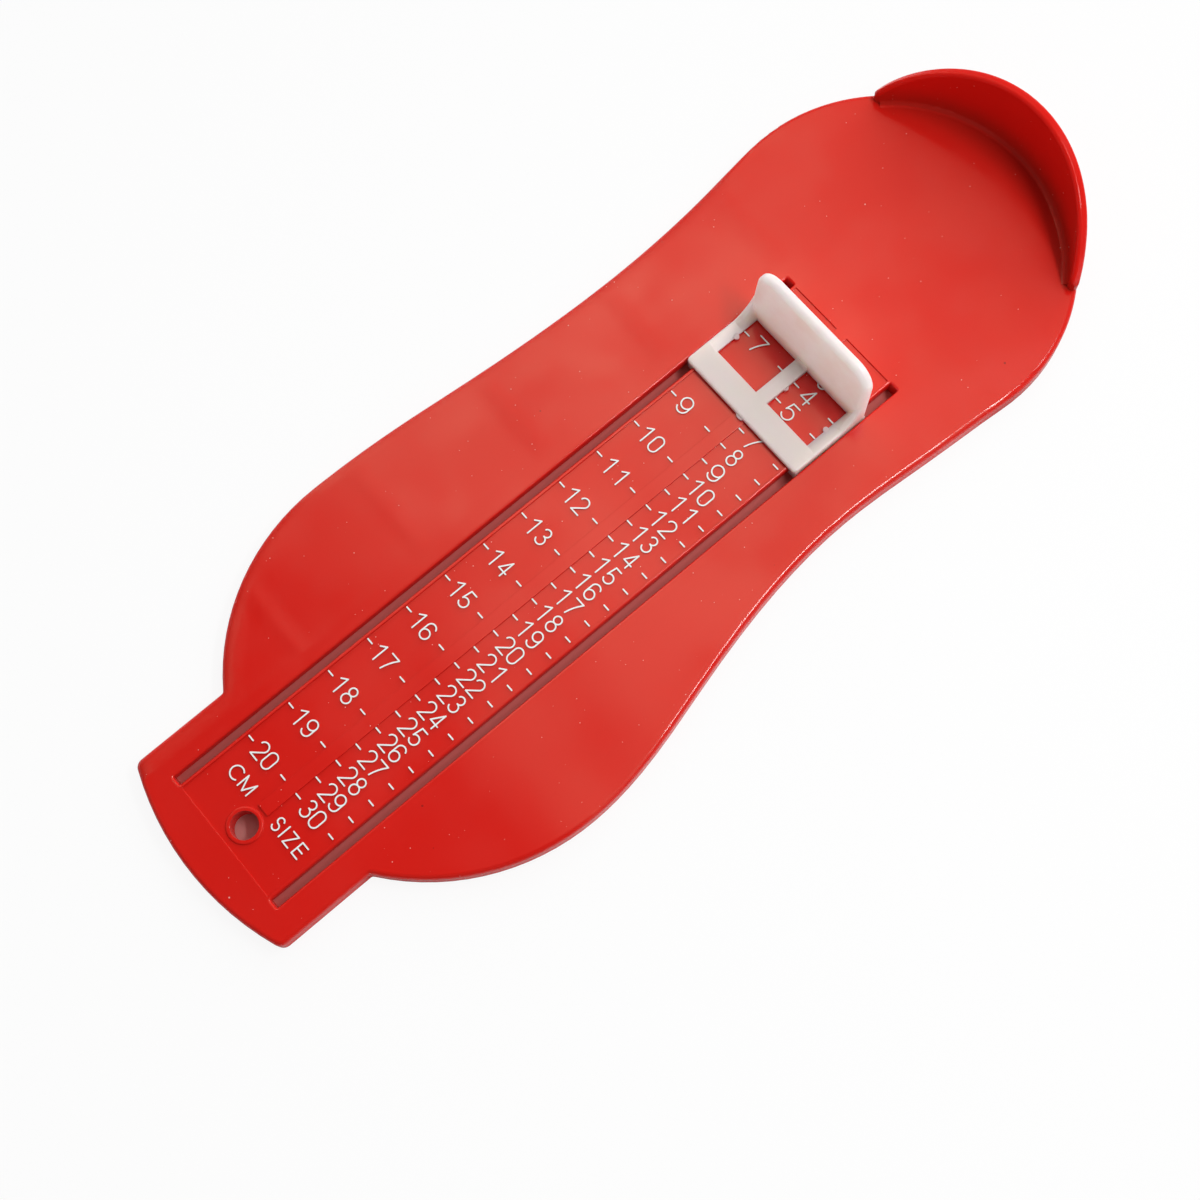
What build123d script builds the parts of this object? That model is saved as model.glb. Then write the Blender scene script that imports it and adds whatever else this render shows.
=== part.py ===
"""Child's foot measuring device: a sole-shaped plate with a heel wall, and a slider with a toe wall.

Millimetres. +Z is up, +Y points from the toe end to the heel, and the origin is the middle of the
plate's outline, on the surface that the device lies on. Distances called from_heel run from the
outer face of the heel, and readings run from the inner face of the heel wall, as the scale's do.
"""
from build123d import *
from math import cos, radians, sin, sqrt, tan
import os

# ---- sole plate: outline ----
heel_radius = 39.0
heel_offset = -4.4          # the heel's centre lies left of the middle
heel_tangent_angle = 6.0    # where the heel's arc ends, below its centre
shoulder_left_inset = 2.1   # from the heel's widest place, inwards
shoulder_right_inset = 1.4
shoulder_left_run = 19.2    # from the heel's centre towards the toes
shoulder_right_run = 19.8
waist_left_inset = 3.6
waist_right_inset = 3.1
waist_left_run = 47.0
waist_right_run = 44.5
flare_left_inset = 2.5      # from the ball's widest place, inwards
flare_right_inset = 6.7
flare_left_run = 37.0       # from the ball towards the heel
flare_right_run = 35.0
ball_width = 89.2
ball_from_heel = 161.0
neck_from_heel = 201.0
tab_width = 47.2
tab_offset = 1.0
tab_length = 26.3           # neck to the end of the tab
tab_crown = 4.6             # rise of the tab's end arc
tab_corner_radius = 2.0
neck_radius = 0.8

# ---- sole plate: thicknesses and edges ----
plate_top = 4.2
plate_thickness = 2.0
skirt_thickness = 1.8
edge_radius = 1.0
slot_edge_radius = 0.5

# ---- heel wall ----
heel_wall_thickness = 2.2
heel_wall_height = 18.0     # above the plate
heel_wall_span = 101.0      # degrees between the middles of its rounded ends
heel_rim_half_width = 31.5  # of the ellipse that the rim follows
heel_rim_radius = 0.7
heel_foot_radius = 1.2      # inside, where the wall meets the plate

# ---- ruler strip between the two slots ----
ruler_offset = 1.4          # the strip's middle lies right of the plate's middle
strip_width = 29.4
slot_width = 2.1
slot_start_reading = 55.3
slot_end_margin = 8.7       # from the slots to the end of the tab
slot_corner_radius = 0.3
panel_recess = 0.35
panel_border = 0.75         # raised border beside each slot
panel_end_gap = 0.1         # the panels start this far past the slots
centre_ridge_width = 3.0
centre_ridge_end_reading = 207.0

# ---- underside ----
rail_thickness = 1.6        # walls beside the slots, under the plate
rail_setback = 1.2          # from the slots outwards to these walls
strip_rib_width = 1.4
rib_thickness = 1.2
rib_pitch = 32.0
rib_count = 6
first_rib_reading = 22.0
hole_boss_diameter = 10.0

# ---- hanging hole ----
hole_diameter = 5.8
hole_margin = 13.6          # from the hole's middle to the end of the tab
collar_diameter = 7.5
collar_height = 0.35        # above the panel's floor
collar_edge_radius = 0.3

# ---- markings ----
mark_height = 0.3
stroke_width = 0.31
tick_length = 1.62
tick_width = 0.31
digit_height = 4.05
digit_width = 2.42
single_digit_width = 2.85
one_width = 1.45            # ink width of the numeral 1
one_left_space = 0.88
one_right_space = 1.15
digit_space = 0.22          # free space on each side of the other numerals
label_height = 3.2
label_from_last_tick = 6.3
cm_step = 10.0
cm_first = 6
cm_last = 20
size_step = 5.0
size_first = 2
size_last = 30
size_zero_reading = 50.0    # where size 0 would be
cm_tick_places = (-12.88, -2.55)    # from the strip's middle
size_tick_places = (2.36, 12.73)
cm_numeral_right = -5.63    # right edge of the numerals, from the strip's middle
size_numeral_right = 9.67
cm_single_left = -10.8      # left edge of a numeral that stands alone
size_single_left = 4.4
cm_label_place = (-10.8, -4.3)      # left and right edge, from the strip's middle
size_label_place = (3.2, 12.0)

# ---- slider ----
slider_reading = 72.2       # what the pointers show at rest
slider_side_clearance = 0.2     # to the outer walls of the slots
slider_height_clearance = 0.1   # over the plate
frame_thickness = 1.2
frame_front_length = 11.2   # from the pointers to the front edge
window_front = 5.4          # from the pointers
window_edge = 1.0           # from the strip's edge to the windows
centre_bar_width = 3.2
frame_corner_radius = 1.0
frame_edge_radius = 0.4
toe_wall_back = 8.0         # from the pointers to the foot of the wall's face for the toes
toe_wall_thickness = 2.3
toe_wall_height = 17.3      # above the plate
toe_wall_lean = 5.0         # degrees, towards the heel
toe_wall_draft = 1.7        # degrees, of the wall's ends
toe_wall_corner_radius = 5.0
toe_wall_front_radius = 1.3
toe_wall_back_radius = 0.5
rail_land = 0.6             # left flat on top of each rail, outside the slope to its window
rail_slope_foot = 0.4       # thickness left at the window
gusset_length = 5.1         # where a rail rises to the wall, up to the middle of the wall
gusset_height = 5.3
gusset_radius = 8.0
gusset_foot_radius = 2.0
wall_foot_length = 0.9      # of the small gusset on the centre bar
pointer_reach = 0.65
pointer_width = 1.2
pointer_thickness = 0.6
centre_pointer_reach = 0.5
gate_mark_width = 1.9
gate_mark_reach = 0.5
leg_clearance = 0.2         # to the sides of the strip
leg_front_inset = 0.4
hook_reach = 1.5
hook_thickness = 1.1
hook_clearance = 0.3        # to the underside of the strip
hook_chamfer = 0.5

# ---- worked out ----
overall_length = neck_from_heel + tab_length
heel_y = overall_length / 2
toe_y = -overall_length / 2
scale_zero_y = heel_y - heel_wall_thickness
heel_centre = (heel_offset, heel_y - heel_radius)
plate_bottom = plate_top - plate_thickness
panel_floor = plate_top - panel_recess
slot_inner = strip_width / 2
slot_outer = slot_inner + slot_width
slot_end_y = toe_y + slot_end_margin


def reading_y(reading):
    """The place along Y that a reading of the scale stands for."""
    return scale_zero_y - reading


slot_start_y = reading_y(slot_start_reading)
slot_length = slot_start_y - slot_end_y
slot_middle_y = (slot_start_y + slot_end_y) / 2
hole_y = toe_y + hole_margin

# ---- the outline of the sole ----
ball_y = heel_y - ball_from_heel
neck_y = heel_y - neck_from_heel
tab_end_radius = ((tab_width / 2) ** 2 + tab_crown**2) / (2 * tab_crown)


def heel_end(side, inset):
    """The end of the heel's arc on one side."""
    angle = radians(heel_tangent_angle)
    reach = heel_radius - inset
    return (heel_centre[0] + side * reach * cos(angle), heel_centre[1] - reach * sin(angle))


def ball_arc_depth(across, inset):
    """How far the arc below the ball runs along Y before it meets the side of the tab."""
    radius = (across**2 + (ball_y - neck_y) ** 2) / (2 * across) - inset
    return sqrt(radius**2 - (radius - across) ** 2)


def beside_heel(side, inwards, run):
    """A point of the outline, from the heel's widest place."""
    return (heel_centre[0] + side * (heel_radius - inwards), heel_centre[1] - run)


def beside_ball(side, inwards, run):
    """A point of the outline, from the ball's widest place."""
    return (side * (ball_width / 2 - inwards), ball_y + run)


def sole_side(side, inset, points):
    """One side of the outline, through its points from the heel to the corner of the tab."""
    angle = radians(heel_tangent_angle)
    ball = beside_ball(side, inset, 0)
    tab_x = tab_offset + side * (tab_width / 2 - inset)
    neck = (tab_x, ball_y - ball_arc_depth(abs(ball[0] - tab_x), inset))
    Spline(
        heel_end(side, inset),
        *[(x - side * inset, y) for x, y in points],
        ball,
        tangents=[(-side * sin(angle), -cos(angle)), (0, -1)],
    )
    TangentArc(ball, neck, tangent=(0, -1))
    Line(neck, tab_corner(side, inset))


def tab_corner(side, inset):
    """The corner of the tab on one side, where its end arc starts."""
    half_width = tab_width / 2 - inset
    end_radius = tab_end_radius - inset
    rise = end_radius - sqrt(end_radius**2 - half_width**2)
    return (tab_offset + side * half_width, toe_y + inset + rise)


def sole_curves(inset):
    """The outline of the sole, moved inwards, as curves of the line that is being made."""
    ThreePointArc(heel_end(-1, inset), (heel_offset, heel_y - inset), heel_end(1, inset))
    sole_side(-1, inset, left_points)
    sole_side(1, inset, right_points)
    ThreePointArc(tab_corner(-1, inset), (tab_offset, toe_y + inset), tab_corner(1, inset))


left_points = [
    beside_heel(-1, shoulder_left_inset, shoulder_left_run),
    beside_heel(-1, waist_left_inset, waist_left_run),
    beside_ball(-1, flare_left_inset, flare_left_run),
]
right_points = [
    beside_heel(1, shoulder_right_inset, shoulder_right_run),
    beside_heel(1, waist_right_inset, waist_right_run),
    beside_ball(1, flare_right_inset, flare_right_run),
]

with BuildSketch() as sole_outline:
    with BuildLine():
        sole_curves(0)
    make_face()
    corners = sole_outline.vertices().group_by(Axis.Y)[0]
    fillet(corners, tab_corner_radius)
    necks = [v for v in sole_outline.vertices() if abs(v.Y - neck_y) < 0.01]
    fillet(necks, neck_radius)

# ---- heel wall: a curved band whose rim follows an ellipse seen from the front ----
wall_middle_radius = heel_radius - heel_wall_thickness / 2
wall_inner_radius = heel_radius - heel_wall_thickness
wall_start_angle = 90 - heel_wall_span / 2
heel_wall_top = plate_top + heel_wall_height

wall_middle_line = CenterArc(heel_centre, wall_middle_radius, wall_start_angle, heel_wall_span)

with BuildPart() as heel_wall:
    with BuildSketch():
        SlotArc(wall_middle_line, heel_wall_thickness)
    extrude(amount=heel_wall_top)
    with BuildSketch(Plane.XZ):
        with Locations((heel_offset, 0)):
            Ellipse(heel_rim_half_width, heel_wall_top)
    extrude(amount=-heel_y, mode=Mode.INTERSECT)
    rim = [e for e in heel_wall.edges().filter_by(GeomType.BSPLINE) if e.center().Z > plate_top]
    fillet(rim, heel_rim_radius)

# the rounded foot inside the heel wall
start_direction = Vector(cos(radians(wall_start_angle)), sin(radians(wall_start_angle)), 0)
foot_plane = Plane(
    origin=(heel_centre[0], heel_centre[1], 0),
    x_dir=start_direction,
    z_dir=start_direction.cross(Vector(0, 0, 1)),
)
foot_inner = (wall_inner_radius - heel_foot_radius, plate_top)
foot_upper = (wall_inner_radius, plate_top + heel_foot_radius)

with BuildPart() as heel_foot:
    with BuildSketch(foot_plane):
        with BuildLine():
            RadiusArc(foot_inner, foot_upper, -heel_foot_radius)
            Polyline(
                foot_upper,
                (wall_middle_radius, foot_upper[1]),
                (wall_middle_radius, plate_bottom),
                (foot_inner[0], plate_bottom),
                foot_inner,
            )
        make_face()
    revolve(axis=Axis(foot_plane.origin, (0, 0, 1)), revolution_arc=heel_wall_span)

# ---- sole plate ----
panel_start_y = slot_start_y - panel_end_gap
panel_length = panel_start_y - slot_end_y
panel_half_width = slot_inner - panel_border
ridge_length = panel_start_y - reading_y(centre_ridge_end_reading)
tunnel_width = 2 * (slot_outer + rail_setback)
rail_block_width = tunnel_width + 2 * rail_thickness
rail_block_length = slot_length + 2 * rail_thickness


def is_slot_rim(edge):
    """True for the upper edges of the two slots."""
    place = edge.center()
    across = abs(place.X - ruler_offset)
    in_width = slot_inner - 0.01 < across < slot_outer + 0.01
    in_length = slot_end_y - 0.01 < place.Y < slot_start_y + 0.01
    return in_width and in_length and abs(place.Z - plate_top) < 0.01


with BuildPart() as sole_plate:
    add(sole_outline.sketch)
    extrude(amount=plate_top)
    fillet(sole_plate.faces().sort_by(Axis.Z)[-1].edges(), edge_radius)

    # heel wall
    add(heel_wall.part)
    add(heel_foot.part)

    # hollow underside with its ribs, and the open tunnel that the slider's hooks run in
    with BuildSketch():
        with BuildLine():
            sole_curves(skirt_thickness)
        make_face()
        for rib in range(rib_count):
            with Locations((0, reading_y(first_rib_reading + rib * rib_pitch))):
                Rectangle(2 * ball_width, rib_thickness, mode=Mode.SUBTRACT)
        with Locations((ruler_offset, slot_middle_y)):
            Rectangle(rail_block_width, rail_block_length, mode=Mode.SUBTRACT)
            Rectangle(tunnel_width, slot_length)
            Rectangle(strip_rib_width, slot_length, mode=Mode.SUBTRACT)
        with Locations((ruler_offset, hole_y)):
            Circle(hole_boss_diameter / 2, mode=Mode.SUBTRACT)
    extrude(amount=plate_bottom, mode=Mode.SUBTRACT)

    # slots
    with BuildSketch():
        for side in (-1, 1):
            with Locations((ruler_offset + side * (slot_inner + slot_width / 2), slot_middle_y)):
                RectangleRounded(slot_width, slot_length, slot_corner_radius)
    extrude(amount=plate_top, mode=Mode.SUBTRACT)
    fillet([e for e in sole_plate.edges() if is_slot_rim(e)], slot_edge_radius)

    # recessed panels on both sides of the centre ridge, joined beyond its end
    with BuildSketch(Plane.XY.offset(panel_floor)):
        with Locations((ruler_offset, panel_start_y)):
            Rectangle(2 * panel_half_width, panel_length, align=(Align.CENTER, Align.MAX))
            Rectangle(
                centre_ridge_width, ridge_length, align=(Align.CENTER, Align.MAX), mode=Mode.SUBTRACT
            )
    extrude(amount=2 * panel_recess, mode=Mode.SUBTRACT)

    # hanging hole and its collar
    with BuildSketch(Plane.XY.offset(panel_floor)):
        with Locations((ruler_offset, hole_y)):
            Circle(collar_diameter / 2)
    extrude(amount=collar_height)
    collar_top = panel_floor + collar_height
    top_circles = [
        e for e in sole_plate.edges().filter_by(GeomType.CIRCLE) if abs(e.center().Z - collar_top) < 0.01
    ]
    fillet([e for e in top_circles if abs(e.radius - collar_diameter / 2) < 0.01], collar_edge_radius)
    with Locations((ruler_offset, hole_y, panel_floor)):
        Hole(hole_diameter / 2)

sole_plate.part.label = "sole_plate"

# ---- slider ----
pointer_y = reading_y(slider_reading)
front_y = pointer_y - frame_front_length
toe_face_y = pointer_y + toe_wall_back
wall_front_y = toe_face_y - toe_wall_thickness
wall_middle_y = toe_face_y - toe_wall_thickness / 2
frame_bottom = plate_top + slider_height_clearance
frame_top = frame_bottom + frame_thickness
toe_wall_top = plate_top + toe_wall_height
toe_wall_rise = toe_wall_top - frame_bottom
toe_wall_shift = toe_wall_rise * tan(radians(toe_wall_lean))
slider_half_width = slot_outer - slider_side_clearance
window_outer = slot_inner - window_edge
window_width = window_outer - centre_bar_width / 2
window_front_y = pointer_y - window_front
window_length = wall_middle_y - window_front_y
window_middle_x = (window_outer + centre_bar_width / 2) / 2
gusset_foot_y = wall_middle_y - gusset_length
gusset_top = frame_top + gusset_height
land_inner = slider_half_width - rail_land
leg_inner = slot_inner + leg_clearance
leg_front_y = front_y + leg_front_inset
hook_top = plate_bottom - hook_clearance
hook_bottom = hook_top - hook_thickness


def slider_front_shape():
    """The slider's width as seen from the front, with the draft of its sides, as a new sketch."""
    with BuildSketch(Plane.XZ.offset(-front_y)) as shape:
        with Locations((ruler_offset, frame_bottom)):
            Trapezoid(
                2 * slider_half_width,
                toe_wall_rise,
                90 - toe_wall_draft,
                align=(Align.CENTER, Align.MIN),
            )
    return shape


def slope_cut(side, land_height):
    """The cross-section cut away between a rail's land and its window, as points of XZ."""
    return [
        (side * window_outer, frame_bottom + rail_slope_foot),
        (side * land_inner, land_height),
        (side * land_inner, gusset_top + rail_land),
        (side * window_outer, gusset_top + rail_land),
    ]


# toe wall: a leaning slab, cut to its outline as seen from the front
with BuildPart() as toe_wall:
    with BuildSketch(Plane.YZ.offset(ruler_offset)):
        Polygon(
            (toe_face_y, frame_bottom),
            (toe_face_y + toe_wall_shift, toe_wall_top),
            (wall_front_y + toe_wall_shift, toe_wall_top),
            (wall_front_y, frame_bottom),
            align=None,
        )
    extrude(amount=slider_half_width, both=True)
    with BuildSketch(Plane.XZ.offset(-front_y)) as wall_outline:
        add(slider_front_shape().sketch)
        fillet(wall_outline.vertices().group_by(Axis.Y)[-1], toe_wall_corner_radius)
    extrude(amount=-(toe_face_y + toe_wall_shift - front_y), mode=Mode.INTERSECT)
    for face, radius in ((0, toe_wall_front_radius), (-1, toe_wall_back_radius)):
        edges = toe_wall.faces().filter_by(GeomType.PLANE).sort_by(Axis.Y)[face].edges()
        fillet([e for e in edges if e.center().Z > frame_bottom + 0.01], radius)

with BuildPart() as slider:
    # frame, with rails at both sides that rise to the wall
    with BuildSketch(Plane.YZ.offset(ruler_offset)) as side_profile:
        with BuildLine():
            foot = (gusset_foot_y, frame_top)
            head = (wall_middle_y, gusset_top)
            RadiusArc(foot, head, -gusset_radius)
            Polyline(
                head, (wall_middle_y, frame_bottom), (front_y, frame_bottom), (front_y, frame_top), foot
            )
        make_face()
        fillet(side_profile.vertices().sort_by_distance(foot)[0], gusset_foot_radius)
    extrude(amount=slider_half_width, both=True)
    with BuildSketch(Plane.XZ.offset(-front_y)):
        add(slider_front_shape().sketch)
    extrude(amount=-(wall_middle_y - front_y), mode=Mode.INTERSECT)
    front_edges = slider.faces().sort_by(Axis.Y)[0].edges()
    fillet([e for e in front_edges if frame_bottom < e.center().Z < frame_top], frame_corner_radius)
    rim = [
        e
        for e in slider.edges()
        if e.center().Z > frame_top - 0.01
        and e.center().Y < wall_middle_y - 0.01
        and (abs(e.center().X - ruler_offset) > land_inner or e.center().Y < front_y + 0.01)
    ]
    fillet(rim, frame_edge_radius)

    # room between the gussets, the slopes beside the windows, and the windows
    with BuildSketch(Plane.XY.offset(frame_top)):
        with Locations((ruler_offset, wall_middle_y)):
            Rectangle(2 * window_outer, window_length, align=(Align.CENTER, Align.MAX))
    extrude(amount=gusset_height, mode=Mode.SUBTRACT)
    for side in (-1, 1):
        with BuildSketch(Plane.XZ.offset(-window_front_y)):
            with Locations((ruler_offset, 0)):
                Polygon(*slope_cut(side, frame_top), align=None)
        extrude(amount=-(gusset_foot_y - window_front_y), mode=Mode.SUBTRACT)
        for height, y in ((frame_top, gusset_foot_y), (gusset_top, wall_middle_y)):
            with BuildSketch(Plane.XZ.offset(-y)):
                with Locations((ruler_offset, 0)):
                    Polygon(*slope_cut(side, height), align=None)
        loft(ruled=True, mode=Mode.SUBTRACT)
    with BuildSketch(Plane.XY.offset(frame_bottom)):
        for side in (-1, 1):
            with Locations((ruler_offset + side * window_middle_x, window_front_y)):
                Rectangle(window_width, window_length, align=(Align.CENTER, Align.MIN))
    extrude(amount=frame_thickness, mode=Mode.SUBTRACT)

    # toe wall, and its small gusset on the centre bar
    add(toe_wall.part)
    with BuildSketch(Plane.YZ.offset(ruler_offset)):
        with BuildLine():
            foot = (wall_front_y - wall_foot_length, frame_top)
            head = (wall_front_y, frame_top + wall_foot_length)
            RadiusArc(foot, head, -wall_foot_length)
            Polyline(
                head,
                (wall_middle_y, head[1]),
                (wall_middle_y, frame_bottom),
                (foot[0], frame_bottom),
                foot,
            )
        make_face()
    extrude(amount=centre_bar_width / 2, both=True)

    # legs that go down through the slots, with their hooks under the strip
    for side in (-1, 1):
        with BuildSketch(Plane.XZ.offset(-leg_front_y)):
            with Locations((ruler_offset, 0)):
                hook_tip = side * (leg_inner - hook_reach)
                Polygon(
                    (side * slider_half_width, frame_bottom),
                    (side * slider_half_width, hook_bottom + hook_chamfer),
                    (side * (slider_half_width - hook_chamfer), hook_bottom),
                    (hook_tip + side * hook_chamfer, hook_bottom),
                    (hook_tip, hook_bottom + hook_chamfer),
                    (hook_tip, hook_top),
                    (side * leg_inner, hook_top),
                    (side * leg_inner, frame_bottom),
                    align=None,
                )
        extrude(amount=-(toe_face_y - leg_front_y))

    # pointers: one at the left window, two at the right one
    with BuildSketch(Plane.XY.offset(frame_bottom)):
        with Locations([(ruler_offset + side * window_outer, pointer_y) for side in (-1, 1)]):
            Ellipse(pointer_reach, pointer_width / 2)
        with Locations((ruler_offset + centre_bar_width / 2, pointer_y)):
            Ellipse(centre_pointer_reach, pointer_width / 2)
    extrude(amount=pointer_thickness)

    # what the mould's gate leaves at the front edge
    with BuildSketch(Plane.XY.offset(frame_bottom)):
        with Locations((ruler_offset, front_y)):
            Ellipse(gate_mark_width / 2, gate_mark_reach)
    extrude(amount=pointer_thickness)

slider.part.label = "slider"

# ---- markings: strokes of one pen width with round ends ----
pen_height = digit_height - stroke_width    # height of a numeral's centre lines
upper_bowl = 0.23 * pen_height              # bowl radii of the numerals 3 and 8
lower_bowl = pen_height / 2 - upper_bowl


def path(*points):
    """A pen path along straight lines."""
    return Polyline(*points, mode=Mode.PRIVATE)


def arc(centre_x, centre_y, radius, start, size):
    """A pen path along an arc, given by its start angle and its size in degrees."""
    return CenterArc((centre_x, centre_y), radius, start, size, mode=Mode.PRIVATE)


def ring(centre_x, centre_y, radius):
    """A full circle, as two pen paths that meet."""
    return [arc(centre_x, centre_y, radius, 0, 180), arc(centre_x, centre_y, radius, 180, 180)]


def numeral(digit, width):
    """The pen paths of one numeral whose centre lines are width wide, from its lower left corner."""
    half = width / 2
    top = pen_height
    shoulder = top - half
    if digit == 0:
        side = ((0, half), (0, shoulder))
        upper = arc(half, shoulder, half, 0, 180)
        lower = arc(half, half, half, 180, 180)
        right = ((width, half), (width, shoulder))
        return [path(*side), upper, lower, path(*right)]
    if digit == 1:
        return [path((0, 0.76 * top), (width, top), (width, 0))]
    if digit == 2:
        bowl = arc(half, shoulder, half, 165, -205)
        return [bowl, path(bowl @ 1, (0, 0), (width, 0))]
    if digit == 3:
        upper = arc(half, top - upper_bowl, upper_bowl, 155, -245)
        return [upper, arc(half, lower_bowl, lower_bowl, 90, -250)]
    if digit == 4:
        stem = 0.72 * width
        bar = 0.29 * top
        return [path((stem, 0), (stem, top)), path((stem, top), (0, bar), (width, bar))]
    if digit == 5:
        bowl = arc(half, half, half, 148, -300)
        return [bowl, path(bowl @ 0, (0.22 * width, top), (0.92 * width, top))]
    if digit == 6:
        tail = [path((0, half), (0, shoulder)), arc(half, shoulder, half, 180, -155)]
        return ring(half, half, half) + tail
    if digit == 7:
        bend = (0.55 * width, 0.5 * top)
        leg = ThreePointArc((width, top), bend, (0.3 * width, 0), mode=Mode.PRIVATE)
        return [path((0, top), (width, top)), leg]
    if digit == 8:
        return ring(half, top - upper_bowl, upper_bowl) + ring(half, lower_bowl, lower_bowl)
    tail = [path((width, shoulder), (width, half)), arc(half, half, half, 0, -155)]
    return ring(half, shoulder, half) + tail


def letter(name, height):
    """The pen paths of one capital letter and their width, from its lower left corner."""
    if name == "C":
        radius = height / 2
        return [arc(radius, radius, radius, 50, 260)], radius * (1 + cos(radians(50)))
    if name == "M":
        width = 0.95 * height
        return [path((0, 0), (0, height), (width / 2, 0), (width, height), (width, 0))], width
    if name == "S":
        upper = 0.24 * height
        lower = height / 2 - upper
        bowls = [arc(lower, height - upper, upper, 25, 245), arc(lower, lower, lower, 90, -250)]
        return bowls, 2 * lower
    if name == "I":
        return [path((0, 0), (0, height))], 0
    width = 0.58 * height
    if name == "Z":
        return [path((0, height), (width, height), (0, 0), (width, 0))], width
    bar = path((0, height / 2), (0.9 * width, height / 2))
    return [path((width, height), (0, height), (0, 0), (width, 0)), bar], width


def draw(paths):
    """Pen strokes in the sketch that is being made."""
    for one in paths:
        SlotArc(one, stroke_width)


def numeral_places(value, right, single_left):
    """The numerals of a value with their ink widths and left edges, from the strip's middle."""
    digits = [int(character) for character in str(value)]
    if len(digits) == 1:
        return [(digits[0], single_digit_width, single_left)]
    places = []
    edge = right
    for digit in reversed(digits):
        width = one_width if digit == 1 else digit_width
        if places:
            edge -= one_right_space if digit == 1 else digit_space
        places.append((digit, width, edge - width))
        edge -= width + (one_left_space if digit == 1 else digit_space)
    return places


def make_ticks(readings, columns):
    """Ticks across each column at each reading, as separate solids."""
    with BuildPart() as ticks:
        with BuildSketch(Plane.XY.offset(panel_floor)):
            with Locations([(ruler_offset + x, reading_y(r)) for r in readings for x in columns]):
                SlotOverall(tick_length, tick_width)
        extrude(amount=mark_height)
    return ticks


def make_numerals(scale, right, single_left):
    """The numerals of a scale, given as pairs of value and reading."""
    places = {}
    for value, reading in scale:
        for digit, width, left in numeral_places(value, right, single_left):
            corner = (
                ruler_offset + left + stroke_width / 2,
                reading_y(reading) - pen_height / 2,
            )
            places.setdefault((digit, width), []).append(corner)
    drawings = [(numeral(digit, width - stroke_width), places[digit, width]) for digit, width in places]
    with BuildPart() as numerals:
        with BuildSketch(Plane.XY.offset(panel_floor)):
            for paths, corners in drawings:
                with Locations(corners):
                    draw(paths)
        extrude(amount=mark_height)
    return numerals


def make_label(word, place, reading):
    """A word in capitals that fills the width between its two edges."""
    pen = label_height - stroke_width
    letters = [letter(name, pen) for name in word]
    free = place[1] - place[0] - sum(width + stroke_width for _, width in letters)
    gap = free / (len(word) - 1)
    with BuildPart() as label:
        with BuildSketch(Plane.XY.offset(panel_floor)):
            left = ruler_offset + place[0] + stroke_width / 2
            for paths, width in letters:
                with Locations((left, reading_y(reading) - pen / 2)):
                    draw(paths)
                left += width + stroke_width + gap
        extrude(amount=mark_height)
    return label


cm_scale = [(value, value * cm_step) for value in range(cm_first, cm_last + 1)]
size_scale = [
    (value, size_zero_reading + value * size_step) for value in range(size_first, size_last + 1)
]
label_reading = cm_last * cm_step + label_from_last_tick

cm_ticks = make_ticks([reading for _, reading in cm_scale], cm_tick_places)
cm_ticks.part.label = "cm_ticks"

size_ticks = make_ticks([reading for _, reading in size_scale], size_tick_places)
size_ticks.part.label = "size_ticks"

cm_numerals = make_numerals(cm_scale, cm_numeral_right, cm_single_left)
cm_numerals.part.label = "cm_numerals"

size_numerals = make_numerals(size_scale, size_numeral_right, size_single_left)
size_numerals.part.label = "size_numerals"

cm_label = make_label("CM", cm_label_place, label_reading)
cm_label.part.label = "cm_label"

size_label = make_label("SIZE", size_label_place, label_reading)
size_label.part.label = "size_label"

os.makedirs("parts", exist_ok=True)
pieces = (sole_plate, slider, cm_ticks, cm_numerals, cm_label, size_ticks, size_numerals, size_label)
for piece in pieces:
    export_step(piece.part, f"parts/{piece.part.label}.step")
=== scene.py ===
"""Looks of the child's foot measuring device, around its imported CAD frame.

Metres, in the frame of the CAD model: +Z is up, +Y points from the toe end to the heel, and the
device lies on z = 0. The materials are laid out in millimetres: sizes of noise and specks, depths
of bumps, and places on the device.

A smooth step is written as (start, end), which goes from 0 to 1, or as (start, end, from, to).
A noise is written as (size of its lumps, detail, roughness), of which the last two can be left out.
"""
from math import radians

import bpy
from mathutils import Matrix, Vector


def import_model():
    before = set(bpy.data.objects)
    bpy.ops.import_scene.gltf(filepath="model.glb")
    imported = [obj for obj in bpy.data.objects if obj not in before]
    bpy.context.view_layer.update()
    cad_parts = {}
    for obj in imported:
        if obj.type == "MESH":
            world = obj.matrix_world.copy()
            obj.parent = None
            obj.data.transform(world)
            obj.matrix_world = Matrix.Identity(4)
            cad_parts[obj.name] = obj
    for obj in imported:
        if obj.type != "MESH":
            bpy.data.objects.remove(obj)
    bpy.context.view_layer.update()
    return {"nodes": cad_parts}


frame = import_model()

MM = 0.001
WHITE = (1, 1, 1, 1)

# ---- the photograph's view ----
SENSOR = 36.0
LENS = 54.49
CLIP = (0.01, 20)
CAMERA_PLACE = Vector((96.93, -69.37, 352.03)) * MM
CAMERA_TURN = (15.653, 2.641, 49.693)   # degrees about X, Y and Z

# ---- key light: a long narrow soft box, across the device ----
KEY_PLACE = Vector((0.125, 0.16, 0.34))
KEY_SIZE = (0.24, 0.022)
KEY_POWER = 0.64

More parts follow.
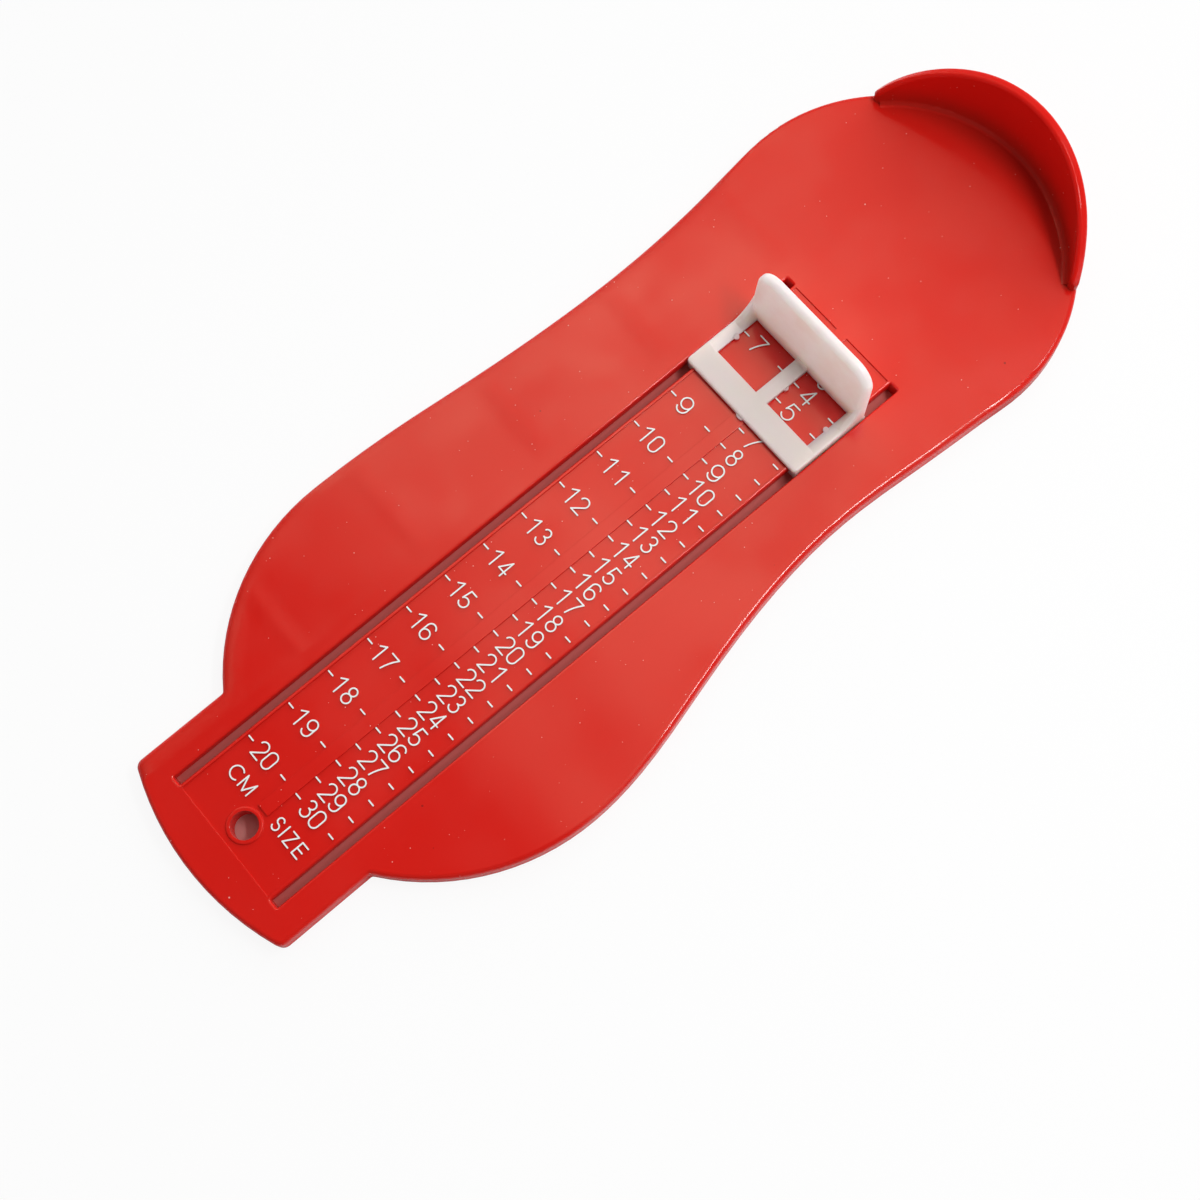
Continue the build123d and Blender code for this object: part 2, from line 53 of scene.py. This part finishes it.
# ---- table ----
FLOOR_SIZE = 6.0
FLOOR_COLOR = (0.9, 0.9, 0.9)
FLOOR_NOISE = (0.6, 3.0)
FLOOR_GRAIN = (0.985, 1.015)        # darkest and lightest grain
FLOOR_WHITENING = 0.90              # how far it is lifted to white where the camera sees it
SHADE_CENTRE = Vector((1.4, -24.0, 0.0))    # the area of painted shade below the ruler strip
SHADE_HALF = Vector((19.5, 84.0, 0.0))
SHADE = (0.76, 0.178, 0.158)        # painted shade and red bounce light on the table below the slots
HOLE_SHADE = (0.55, 0.26, 0.24)     # painted shade and red light on the table below the hanging hole

# ---- room: steps over a direction's Y (along) or X (across), each divided by its Z ----
LOWEST_Z = 0.03
CEILING = (0.015, 0.10)                         # along: where the ceiling light begins
BAND_START = (0.16, 0.26)                       # along: a brighter band in it
BAND_END = (0.30, 0.42, 1.0, 0.0)
BAND_EXTRA = 0.25
CEILING_HEEL = (0.32, 0.42, 1.0, 0.62)          # along
CEILING_TOE_RIGHT = (-0.30, -0.20, 1.0, 0.85)   # across, fades out over the next step
TOE_RIGHT_END = (0.20, 0.28)                    # along
CEILING_LEFT = (-0.38, -0.16, 1.14, 0.88)       # across
CEILING_RIGHT = (0.0, 0.9, 1.0, 0.5)            # across
TOE_LIGHT = (-0.9, -0.25, 0.45, 0.08)           # along
LIT_HEEL = (0.8, 1.6, 1.0, 3.6)                 # along: gain of the light that falls on things
MIRROR_HEEL = (0.45, 0.55, 1.0, 0.25)           # along: gains of what the gloss mirrors
MIRROR_TOE = (-0.9, -0.08, 0.15, 1.1)
CARD_ACROSS = ((-0.42, -0.60), (-1.5, -0.95))   # a pale card on the left, mirrored only
CARD_ALONG = ((0.6, 0.2), (-1.0, -0.6, 0.0, 0.55))
SOFT_BOX = (1.47, 1.44, 1.01)                   # colour of what the gloss mirrors

# ---- patterns ----
NOISE_RANGE = (0.3, 0.7)            # most of a noise lies between these
SMALLEST_SPECK = 0.4                # shares of a speck's radius
SPECK_EDGE = 0.35

# ---- red plastic ----
RED = (0.72, 0.0105, 0.0068)
CLOUD_NOISE = (38.0,)
RED_CLOUDS = (0.955, 1.045)         # darkest and lightest cloud
GRAIN_NOISE = (0.9, 4.0, 0.6)
RED_GRAIN = 0.86                    # lightness of the grain
GRAIN_SHARE = 0.10
PAINTED_CORNER_SHADE = (0.30, 0.020, 0.012)       # painted shade: darker red in the heel's inner corner, which gets little light
CORNER_SHADE_SHARE = 0.5
CORNER_SHADE_REACH = 24.0                 # how far off a wall still takes light away, for the painted shade
CORNER_SHADE_SAMPLES = 8
CORNER_SHADE_SKY = (0.92, 0.45)           # share of open sky from bright to dark
CORNER_SHADE_Y = (60.0, 75.0)             # only at the heel
CORNER_SHADE_Z = (6.0, 13.0, 1.0, 0.1)    # fades up the heel wall
FOOT_START = (4.2, 4.4)             # heights of the heel wall's foot, which gets the painted shade in full
FOOT_END = (5.0, 8.0, 1.0, 0.0)
DUST = (0.93, 0.60, 0.55)
DUST_SHARE = 0.7
DUST_HEIGHT = 0.02
DUST_ROUGHNESS = 0.3
DUST_SPECKS = (1.5, 0.09, 0.40)     # cell, radius, share of the cells that hold one
CRUMB_SPECKS = (5.0, 0.15, 0.6)
PIT = (0.10, 0.004, 0.003)
PIT_SHARE = 0.55
PIT_SPECKS = (7.0, 0.22, 0.25)
POLISH_NOISE = (11.0, 3.0)
RED_ROUGHNESS = (0.13, 0.19)
RED_WAVES = ((46.0, 1.0), 0.9)      # noise and depth
RED_SKIN = ((1.6, 2.0), 0.002)
RED_EDGE = 0.16                     # radius that the shading gives to all edges
SOFT_EDGE = 5.0                     # radius for the rolled edge on the left
SOFT_EDGE_SAMPLES = 8
SOFT_EDGE_X = (-18.0, -19.5)
SOFT_EDGE_Y = (66.0, 60.0, 0.0, 0.65)
BLOTCH_NOISE = (19.0, 2.0)
BLOTCH_RANGE = (0.35, 0.65)
GLOSS = (0.42, 0.58)                # in the dull and the bright blotches
GLOSS_CORNER = (0.0, 0.5, 1.0, 0.24)
GLOSS_SIDE = (2.2, 3.9, 0.15, 1.0)  # over the height of the plate's sides
GLOSS_WALL = (5.0, 8.0, 1.0, 0.4)   # from the plate's top to the heel wall

# ---- milky plastic ----
MILK = (0.96, 0.97, 0.88)
MILK_OVER_RED = (0.92, 0.775, 0.715)    # painted light: the frame pinker, for the red plate's light that shows through the thin plastic
MILK_CLOUD = (0.88, 0.80, 0.70)
MILK_CLOUD_NOISE = (7.0, 3.0, 0.55)
MILK_CLOUD_SHARE = 0.5
MILK_POLISH_NOISE = (4.0, 3.0)
MILK_ROUGHNESS = (0.28, 0.38)
MILK_WAVES = ((9.0, 1.0), 0.06)     # noise and depth
MILK_SKIN = ((0.8, 3.0), 0.002)
MILK_EDGE = 0.2
FRAME_TO_WALL = (5.6, 8.5)          # heights from the slider's frame to its upright wall
MILK_DEPTHS = (3.0 * MM, 9.0 * MM)  # how deep light goes into the frame and the wall

# ---- white stamping ----
INK = (0.93, 0.925, 0.92)
WORN_INK = (0.80, 0.30, 0.26)
WORN_SHARE = 0.3
WORN_NOISE = (0.7, 5.0, 0.65)
WORN_RANGE = (0.68, 0.78)
INK_SKIN = ((0.35, 3.0), 0.006)     # noise and depth
MARK_SIDES = 0.6                    # lightness of the marks' red sides: the unstamped red plastic, painted darker than the plate as shade
MARK_TOPS = 0.5                     # a face whose normal has a larger Z is a top


def camera():
    """The camera at the photograph's place, with its lens."""
    data = bpy.data.cameras.new("camera")
    data.sensor_width = SENSOR
    data.lens = LENS
    data.clip_start, data.clip_end = CLIP
    made = bpy.data.objects.new("camera", data)
    made.location = CAMERA_PLACE
    made.rotation_euler = [radians(angle) for angle in CAMERA_TURN]
    bpy.context.scene.collection.objects.link(made)
    bpy.context.scene.camera = made


def key_light():
    """A rectangular soft box that faces the origin, its long side along X."""
    data = bpy.data.lights.new("key", "AREA")
    data.shape = "RECTANGLE"
    data.size, data.size_y = KEY_SIZE
    data.energy = KEY_POWER
    made = bpy.data.objects.new("key", data)
    made.location = KEY_PLACE
    made.rotation_mode = "QUATERNION"
    made.rotation_quaternion = (-KEY_PLACE).to_track_quat("-Z", "Y")
    bpy.context.scene.collection.objects.link(made)


class Nodes:
    """A short way to write the nodes of a material or a world."""

    def __init__(self, tree):
        self.tree = tree
        tree.nodes.clear()

    def add(self, kind, inputs=None, **settings):
        """Adds a node, sets its properties and fills or links its inputs."""
        node = self.tree.nodes.new("ShaderNode" + kind)
        for key, value in settings.items():
            setattr(node, key, value)
        for key, value in (inputs or {}).items():
            socket = node.inputs[key]
            if isinstance(value, bpy.types.NodeSocket):
                self.tree.links.new(value, socket)
            else:
                socket.default_value = value
        return node

    def math(self, operation, first, second):
        """The result of one sum."""
        return self.add("Math", {0: first, 1: second}, operation=operation).outputs[0]

    def product(self, first, *others):
        """All values multiplied, from the left."""
        for other in others:
            first = self.math("MULTIPLY", first, other)
        return first

    def ramp(self, value, start, end, low=0.0, high=1.0):
        """A smooth step of a value."""
        node = self.add(
            "MapRange",
            {"Value": value, "From Min": start, "From Max": end, "To Min": low, "To Max": high},
            interpolation_type="SMOOTHSTEP",
        )
        return node.outputs["Result"]

    def place(self):
        """The place on the object in millimetres."""
        where = self.add("TexCoord").outputs["Object"]
        return self.add("VectorMath", {0: where, "Scale": 1 / MM}, operation="SCALE").outputs[0]

    def split(self, vector):
        """The X, Y and Z of a vector."""
        return self.add("SeparateXYZ", {0: vector}).outputs[:]

    def noise(self, place, size, detail=2.0, roughness=0.5):
        """Noise with lumps of a size in millimetres."""
        inputs = {"Vector": place, "Scale": 1 / size, "Detail": detail, "Roughness": roughness}
        return self.add("TexNoise", inputs).outputs[0]

    def specks(self, place, cell, radius, share):
        """A mask of small round spots in a share of the cells, in millimetres."""
        cells = self.add("TexVoronoi", {"Vector": place, "Scale": 1 / cell})
        chance = self.add("SeparateColor", {0: cells.outputs["Color"]})
        size = self.math("MULTIPLY", chance.outputs[1], radius / cell)
        size = self.math("ADD", size, SMALLEST_SPECK * radius / cell)
        inside = self.math("SUBTRACT", size, cells.outputs["Distance"])
        inside = self.ramp(inside, 0.0, SPECK_EDGE * radius / cell)
        chosen = self.math("LESS_THAN", chance.outputs[0], share)
        return self.math("MULTIPLY", inside, chosen)

    def mix(self, factor, first, second):
        """A colour between two others."""
        node = self.add("Mix", {0: factor, 6: first, 7: second}, data_type="RGBA")
        return node.outputs[2]

    def rounded(self, radius, samples=4):
        """The normal with its edges rounded to a radius in millimetres."""
        return self.add("Bevel", {"Radius": radius * MM}, samples=samples).outputs[0]

    def bump(self, height, depth, normal=None):
        """A normal bent by a height map whose full range is a depth in millimetres."""
        inputs = {"Height": height, "Strength": 1.0, "Distance": depth * MM}
        if normal:
            inputs["Normal"] = normal
        return self.add("Bump", inputs).outputs[0]

    def uneven(self, place, noise, depth, normal=None):
        """A normal bent by noise of a depth in millimetres."""
        return self.bump(self.noise(place, *noise), depth, normal)

    def light(self, color, strength):
        """The light of a world in one direction."""
        return self.add("Background", {"Color": color, "Strength": strength}).outputs[0]

    def mix_shader(self, factor, first, second):
        """A shader between two others."""
        return self.add("MixShader", {0: factor, 1: first, 2: second}).outputs[0]

    def principled(self, inputs):
        """A Principled shader with these inputs."""
        return self.add("BsdfPrincipled", inputs).outputs[0]

    def finish(self, shader):
        """Ends the tree of a material."""
        self.add("OutputMaterial", {"Surface": shader})


def new_material(name):
    """An empty node material."""
    made = bpy.data.materials.new(name)
    made.use_nodes = True
    return made, Nodes(made.node_tree)


def color(rgb):
    """A colour as the four numbers of a socket."""
    return (*rgb, 1.0)


def shade_of(rgb, factor):
    """A lighter or darker colour of the same hue."""
    return color([min(1.0, channel * factor) for channel in rgb])


def red_plastic():
    """Glossy red moulding: slightly wavy, with dust, pits and painted shade in the corner at the
    heel wall.
    """
    made, nodes = new_material("red_plastic")
    place = nodes.place()
    x, y, z = nodes.split(place)
    cloud = nodes.noise(place, *CLOUD_NOISE)
    grain = nodes.noise(place, *GRAIN_NOISE)
    dust = nodes.specks(place, *DUST_SPECKS)
    crumbs = nodes.specks(place, *CRUMB_SPECKS)
    pits = nodes.specks(place, *PIT_SPECKS)

    # painted shade: the heel's inner corner and the foot of its wall darkened where little light
    # reaches
    foot_shade = nodes.product(nodes.ramp(z, *FOOT_START), nodes.ramp(z, *FOOT_END))
    reach = {"Distance": CORNER_SHADE_REACH * MM}
    open_sky = nodes.add("AmbientOcclusion", reach, samples=CORNER_SHADE_SAMPLES).outputs["AO"]
    corner_shade = nodes.math("MAXIMUM", nodes.ramp(open_sky, *CORNER_SHADE_SKY), foot_shade)
    corner_shade = nodes.product(corner_shade, nodes.ramp(y, *CORNER_SHADE_Y), nodes.ramp(z, *CORNER_SHADE_Z))

    paint = nodes.mix(cloud, *(shade_of(RED, lightness) for lightness in RED_CLOUDS))
    paint = nodes.mix(nodes.product(grain, GRAIN_SHARE), paint, shade_of(RED, RED_GRAIN))
    # the painted corner shade mixed into the red
    paint = nodes.mix(nodes.product(corner_shade, CORNER_SHADE_SHARE), paint, color(PAINTED_CORNER_SHADE))
    pale = nodes.math("MAXIMUM", dust, crumbs)
    paint = nodes.mix(nodes.product(pale, DUST_SHARE), paint, color(DUST))
    paint = nodes.mix(nodes.product(pits, PIT_SHARE), paint, color(PIT))

    roughness = nodes.ramp(nodes.noise(place, *POLISH_NOISE), *NOISE_RANGE, *RED_ROUGHNESS)
    roughness = nodes.math("ADD", roughness, nodes.product(pale, DUST_ROUGHNESS))

    soft = nodes.product(nodes.ramp(x, *SOFT_EDGE_X), nodes.ramp(y, *SOFT_EDGE_Y))
    rolled = nodes.rounded(SOFT_EDGE, SOFT_EDGE_SAMPLES)
    normals = {0: soft, 4: nodes.rounded(RED_EDGE), 5: rolled}
    edges = nodes.add("Mix", normals, data_type="VECTOR").outputs[1]
    waves = nodes.uneven(place, *RED_WAVES, edges)
    skin = nodes.uneven(place, *RED_SKIN, waves)
    skin = nodes.bump(pale, DUST_HEIGHT, skin)

    gloss = nodes.product(
        nodes.ramp(nodes.noise(place, *BLOTCH_NOISE), *BLOTCH_RANGE, *GLOSS),
        nodes.ramp(corner_shade, *GLOSS_CORNER),
        nodes.ramp(z, *GLOSS_SIDE),
        nodes.ramp(z, *GLOSS_WALL),
    )
    shader = nodes.principled(
        {
            "Base Color": paint,
            "Roughness": roughness,
            "IOR": 1.5,
            "Specular IOR Level": gloss,
            "Normal": skin,
            "Subsurface Weight": 0.12,
            "Subsurface Radius": (1.0, 0.12, 0.1),
            "Subsurface Scale": 0.6 * MM,
        }
    )
    nodes.finish(shader)
    return made


def milky_plastic():
    """Translucent white moulding: cloudy, softly glossy, clearer in its upright wall, and with the
    red plate's light painted pinkish into its low frame.
    """
    made, nodes = new_material("milky_plastic")
    place = nodes.place()
    height = nodes.split(place)[2]
    # painted light: pinker low down in the frame, for the red plate's light shining through
    paint = nodes.mix(nodes.ramp(height, *FRAME_TO_WALL), color(MILK_OVER_RED), color(MILK))
    cloud = nodes.ramp(nodes.noise(place, *MILK_CLOUD_NOISE), *NOISE_RANGE)
    paint = nodes.mix(nodes.product(cloud, MILK_CLOUD_SHARE), paint, color(MILK_CLOUD))
    polish = nodes.noise(place, *MILK_POLISH_NOISE)
    roughness = nodes.ramp(polish, *NOISE_RANGE, *MILK_ROUGHNESS)
    waves = nodes.uneven(place, *MILK_WAVES, nodes.rounded(MILK_EDGE))
    skin = nodes.uneven(place, *MILK_SKIN, waves)
    shader = nodes.principled(
        {
            "Base Color": paint,
            "Roughness": roughness,
            "IOR": 1.49,
            "Normal": skin,
            "Subsurface Weight": 1.0,
            "Subsurface Radius": (0.85, 1.0, 0.85),
            "Subsurface Scale": nodes.ramp(height, *FRAME_TO_WALL, *MILK_DEPTHS),
        }
    )
    nodes.finish(shader)
    return made


def white_ink():
    """Hot-stamped white on the tops of the raised red characters, a little rubbed."""
    made, nodes = new_material("white_ink")
    place = nodes.place()
    wear = nodes.ramp(nodes.noise(place, *WORN_NOISE), *WORN_RANGE)
    paint = nodes.mix(nodes.product(wear, WORN_SHARE), color(INK), color(WORN_INK))
    # the marks' sides are the red plastic, painted darker as shade; only the tops are stamped white
    upright = nodes.split(nodes.add("NewGeometry").outputs["Normal"])[2]
    top = nodes.math("GREATER_THAN", upright, MARK_TOPS)
    paint = nodes.mix(top, shade_of(RED, MARK_SIDES), paint)
    skin = nodes.uneven(place, *INK_SKIN)
    inputs = {"Base Color": paint, "Roughness": 0.38, "IOR": 1.5, "Normal": skin}
    nodes.finish(nodes.principled(inputs))
    return made


def floor():
    """A pale table with painted shade and red light below the strip, and white where the camera
    sees it past the device.
    """
    bpy.ops.mesh.primitive_plane_add(size=FLOOR_SIZE, location=(0, 0, 0))
    table = bpy.context.object
    table.name = "floor"
    made, nodes = new_material("floor")
    place = nodes.place()
    offset = nodes.add("VectorMath", {0: place, 1: SHADE_CENTRE}, operation="SUBTRACT").outputs[0]
    reach = nodes.add("VectorMath", {0: offset}, operation="ABSOLUTE").outputs[0]
    reach_x, reach_y, _ = nodes.split(reach)
    outside_x = nodes.math("GREATER_THAN", reach_x, SHADE_HALF.x)
    outside_y = nodes.math("GREATER_THAN", reach_y, SHADE_HALF.y)
    outside = nodes.math("MAXIMUM", outside_x, outside_y)
    # painted shade: the table below the slots and the hole darkened and reddened, for the shade and
    # red light under the plate
    under_hole = nodes.math("LESS_THAN", reach_x, SHADE_HALF.x / 2)
    shade = nodes.mix(under_hole, color(SHADE), color(HOLE_SHADE))

    grain = nodes.noise(place, *FLOOR_NOISE)
    paint = nodes.mix(grain, *(shade_of(FLOOR_COLOR, lightness) for lightness in FLOOR_GRAIN))
    paint = nodes.mix(outside, shade, paint)
    matt = nodes.principled({"Base Color": paint, "Roughness": 0.8, "Specular IOR Level": 0.2})
    seen = nodes.add("LightPath").outputs["Is Camera Ray"]
    lift = nodes.product(outside, seen, FLOOR_WHITENING)
    white = nodes.add("Emission", {"Color": WHITE, "Strength": 1.0}).outputs[0]
    nodes.finish(nodes.mix_shader(lift, matt, white))
    table.data.materials.append(made)


def world():
    """The room: a soft ceiling light above the heel end, dimmer above the toes.

    The gloss mirrors a trimmed version of it with a card on the left, and the camera sees white.
    """
    made = bpy.data.worlds.new("studio")
    made.use_nodes = True
    nodes = Nodes(made.node_tree)
    way_x, way_y, way_z = nodes.split(nodes.add("TexCoord").outputs["Generated"])
    up = nodes.math("MAXIMUM", way_z, LOWEST_Z)
    along = nodes.math("DIVIDE", way_y, up)
    across = nodes.math("DIVIDE", way_x, up)

    band = nodes.product(nodes.ramp(along, *BAND_START), nodes.ramp(along, *BAND_END), BAND_EXTRA)
    toe_right = nodes.ramp(across, *CEILING_TOE_RIGHT)
    ceiling = nodes.product(
        nodes.math("ADD", nodes.ramp(along, *CEILING), band),
        nodes.ramp(along, *CEILING_HEEL),
        nodes.ramp(along, *TOE_RIGHT_END, toe_right, 1.0),
        nodes.ramp(across, *CEILING_LEFT),
        nodes.ramp(across, *CEILING_RIGHT),
    )
    toes = nodes.ramp(along, *TOE_LIGHT)

    lit = nodes.math("ADD", nodes.product(ceiling, nodes.ramp(along, *LIT_HEEL)), toes)
    ceiling = nodes.product(ceiling, nodes.ramp(along, *MIRROR_HEEL))
    toes = nodes.product(toes, nodes.ramp(along, *MIRROR_TOE))
    card = nodes.product(
        *(nodes.ramp(across, *step) for step in CARD_ACROSS),
        *(nodes.ramp(along, *step) for step in CARD_ALONG),
    )
    mirrored = nodes.math("MAXIMUM", nodes.math("ADD", ceiling, toes), card)

    path = nodes.add("LightPath").outputs
    light = nodes.mix_shader(
        path["Is Glossy Ray"], nodes.light(WHITE, lit), nodes.light(color(SOFT_BOX), mirrored)
    )
    light = nodes.mix_shader(path["Is Camera Ray"], light, nodes.light(WHITE, 1.0))
    nodes.add("OutputWorld", {"Surface": light})
    bpy.context.scene.world = made


camera()
world()
floor()
key_light()

red = red_plastic()
milk = milky_plastic()
ink = white_ink()
for name, node in frame["nodes"].items():
    node.data.materials.clear()
    node.data.materials.append({"sole_plate": red, "slider": milk}.get(name, ink))

bpy.context.scene.view_settings.view_transform = "Standard"
